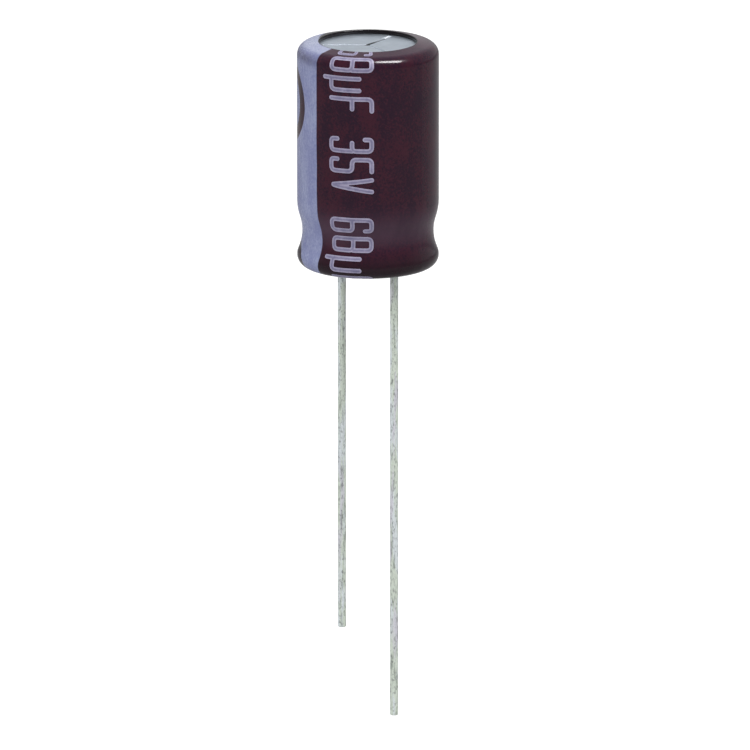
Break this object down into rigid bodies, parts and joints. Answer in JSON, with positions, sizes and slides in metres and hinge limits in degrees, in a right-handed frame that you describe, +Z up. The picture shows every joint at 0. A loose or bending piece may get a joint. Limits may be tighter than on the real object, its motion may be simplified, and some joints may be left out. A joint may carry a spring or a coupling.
{
  "type": "electrolytic capacitor",
  "caption": "Radial aluminium electrolytic capacitor: sleeved round can with a rolled bead, vented top, rubber seal, wound roll and long straight leads.",
  "frame": {"origin": "centre of the seating plane, the flat underside of the sleeved body, midway between the two leads", "axes": "+Z up along the can's axis to the vented top, the leads run down -Z, the long positive lead at +X and the short negative lead at -X"},
  "size_m": [0.0104, 0.0104, 0.0501],
  "materials": {
    "sleeve": "glossy dark plum PVC shrink sleeve with a lilac stripe",
    "can": "satin drawn aluminium",
    "seal": "matt black butyl rubber",
    "tinned_wire": "dull tinned wire",
    "terminal": "pressed aluminium",
    "anode_foil": "matt grey etched foil",
    "cathode_foil": "matt etched foil",
    "separator": "kraft capacitor paper, soaked",
    "tape": "translucent tan film tape"
  },
  "bodies": {
    "root": {"sleeve": "sleeve", "can": "can", "seal": "seal", "positive_lead": "tinned_wire", "negative_lead": "tinned_wire", "positive_terminal": "terminal", "negative_terminal": "terminal", "anode_foil": "anode_foil", "cathode_foil": "cathode_foil", "inner_separator": "separator", "outer_separator": "separator", "fixing_tape": "tape"}
  },
  "joints": []
}
